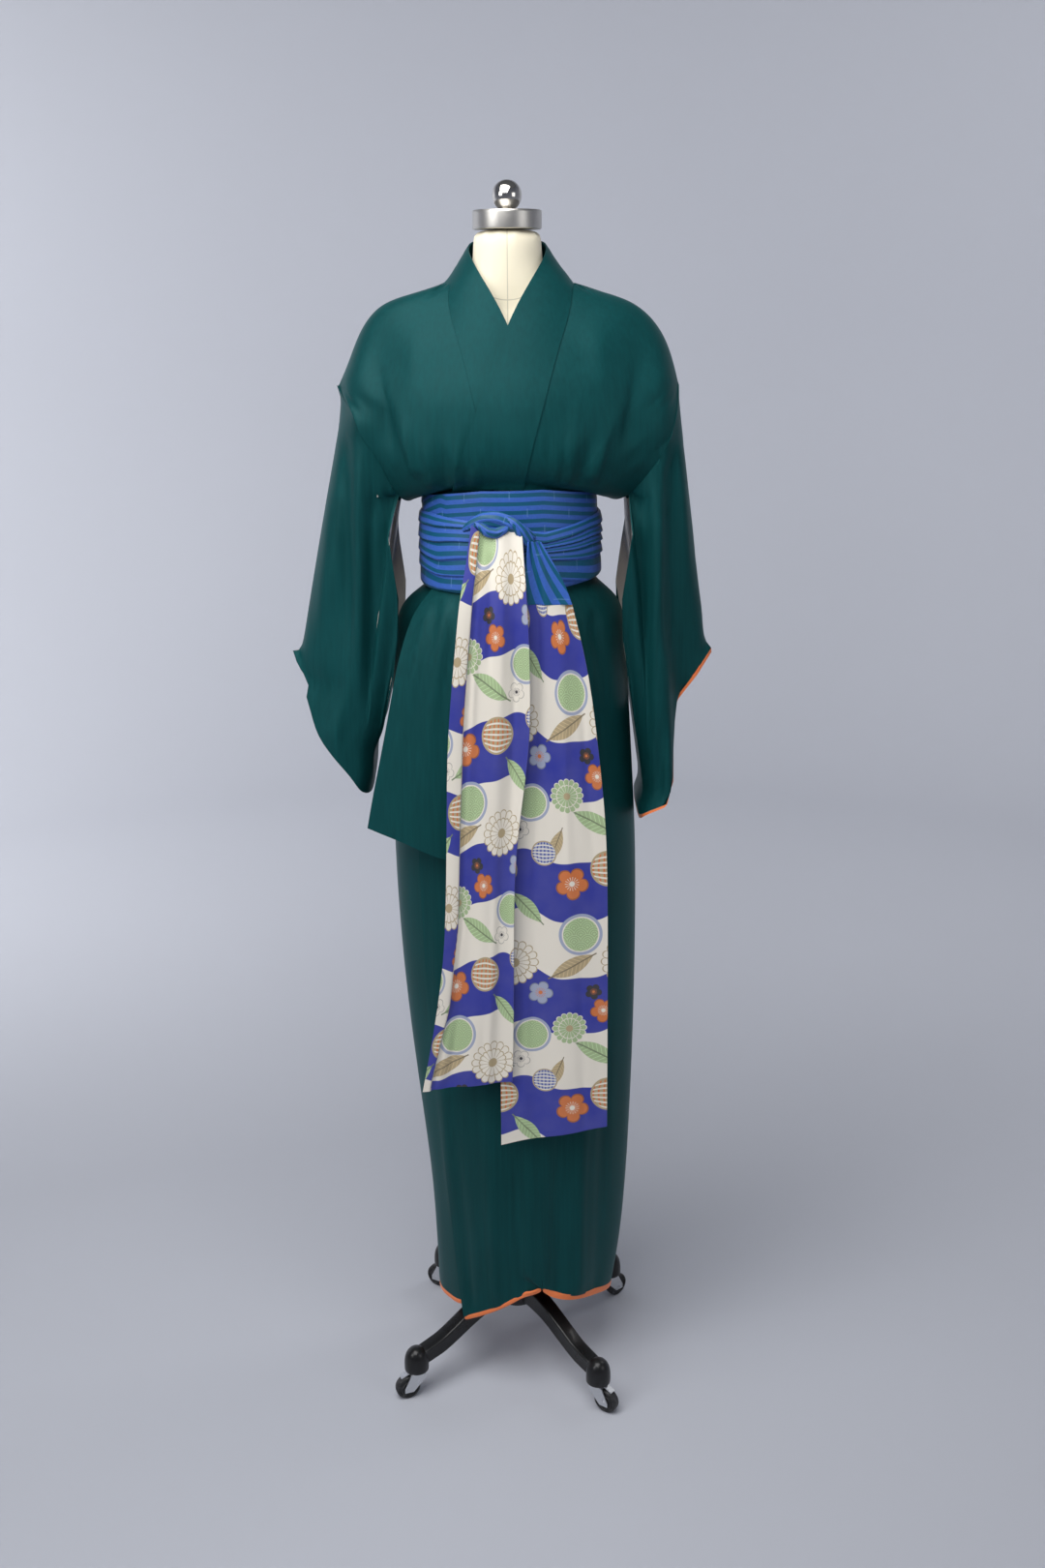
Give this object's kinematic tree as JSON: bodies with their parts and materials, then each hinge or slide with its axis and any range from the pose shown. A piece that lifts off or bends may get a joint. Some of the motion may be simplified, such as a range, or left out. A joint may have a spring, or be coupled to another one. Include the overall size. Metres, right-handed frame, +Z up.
{
  "type": "kimono robe on a dress form",
  "caption": "Long wrapped silk robe with wide hanging sleeves and a knotted sash, worn by a limbless dress form on a four-legged rolling stand.",
  "frame": {"origin": "centre of the bounding box on the floor, under the wheels", "axes": "+Z up along the pole, robe front towards -Y, wearer's left side towards +X"},
  "size_m": [0.5818, 0.354, 1.7605],
  "materials": {
    "silk": "soft sheen silk crepe",
    "orange_lining": "plain silk lining",
    "striped_sash": "striped silk",
    "printed_sash": "printed silk",
    "form_cover": "plain canvas over a padded form",
    "chrome": "polished",
    "black_iron": "gloss black",
    "zinc": "zinc plated",
    "black_wheel": "matte black"
  },
  "bodies": {
    "stand": {"form_torso": "form_cover", "neck_cap": "chrome", "finial": "chrome", "pole": "chrome", "base_casting": "black_iron", "front_left": "silk", "front_right": "silk", "overlap_left": "silk", "overlap_right": "silk", "back_left": "silk", "back_right": "silk", "hem_lining_front_left": "orange_lining", "hem_lining_front_right": "orange_lining", "hem_lining_overlap_left": "orange_lining", "hem_lining_back_left": "orange_lining", "hem_lining_back_right": "orange_lining", "sleeve_left": "silk", "sleeve_right": "silk", "cuff_lining_left": "orange_lining", "collar_left": "silk", "collar_right": "silk", "front_overfold": "silk", "sash_upper_wrap": "striped_sash", "sash_lower_wrap": "striped_sash", "sash_end_left": "printed_sash", "sash_end_right": "printed_sash", "sash_end_right_top": "striped_sash", "sash_knot": "striped_sash"},
    "swivel_1": {"caster_fork_1": "zinc"},
    "wheel_1": {"caster_wheel_1": "black_wheel"},
    "swivel_2": {"caster_fork_2": "zinc"},
    "wheel_2": {"caster_wheel_2": "black_wheel"},
    "swivel_3": {"caster_fork_3": "zinc"},
    "wheel_3": {"caster_wheel_3": "black_wheel"},
    "swivel_4": {"caster_fork_4": "zinc"},
    "wheel_4": {"caster_wheel_4": "black_wheel"}
  },
  "joints": [
    {"name": "swivel_1_turn", "type": "hinge", "parent": "stand", "child": "swivel_1", "pos_m": [-0.1422, -0.12142, 0.045], "axis": [0, 0, 1], "continuous": true},
    {"name": "wheel_1_roll", "type": "hinge", "parent": "swivel_1", "child": "wheel_1", "pos_m": [-0.1563, -0.12655, 0.019], "axis": [0.342, -0.9397, 0], "continuous": true},
    {"name": "swivel_2_turn", "type": "hinge", "parent": "stand", "child": "swivel_2", "pos_m": [0.13457, -0.1533, 0.045], "axis": [0, 0, 1], "continuous": true},
    {"name": "wheel_2_roll", "type": "hinge", "parent": "swivel_2", "child": "wheel_2", "pos_m": [0.14685, -0.1619, 0.019], "axis": [0.5736, 0.8192, 0], "continuous": true},
    {"name": "swivel_3_turn", "type": "hinge", "parent": "stand", "child": "swivel_3", "pos_m": [0.16644, 0.12347, 0.045], "axis": [0, 0, 1], "continuous": true},
    {"name": "wheel_3_roll", "type": "hinge", "parent": "swivel_3", "child": "wheel_3", "pos_m": [0.17793, 0.13311, 0.019], "axis": [-0.6428, 0.766, 0], "continuous": true},
    {"name": "swivel_4_turn", "type": "hinge", "parent": "stand", "child": "swivel_4", "pos_m": [-0.11033, 0.15535, 0.045], "axis": [0, 0, 1], "continuous": true},
    {"name": "wheel_4_roll", "type": "hinge", "parent": "swivel_4", "child": "wheel_4", "pos_m": [-0.12332, 0.16285, 0.019], "axis": [-0.5, -0.866, 0], "continuous": true}
  ]
}
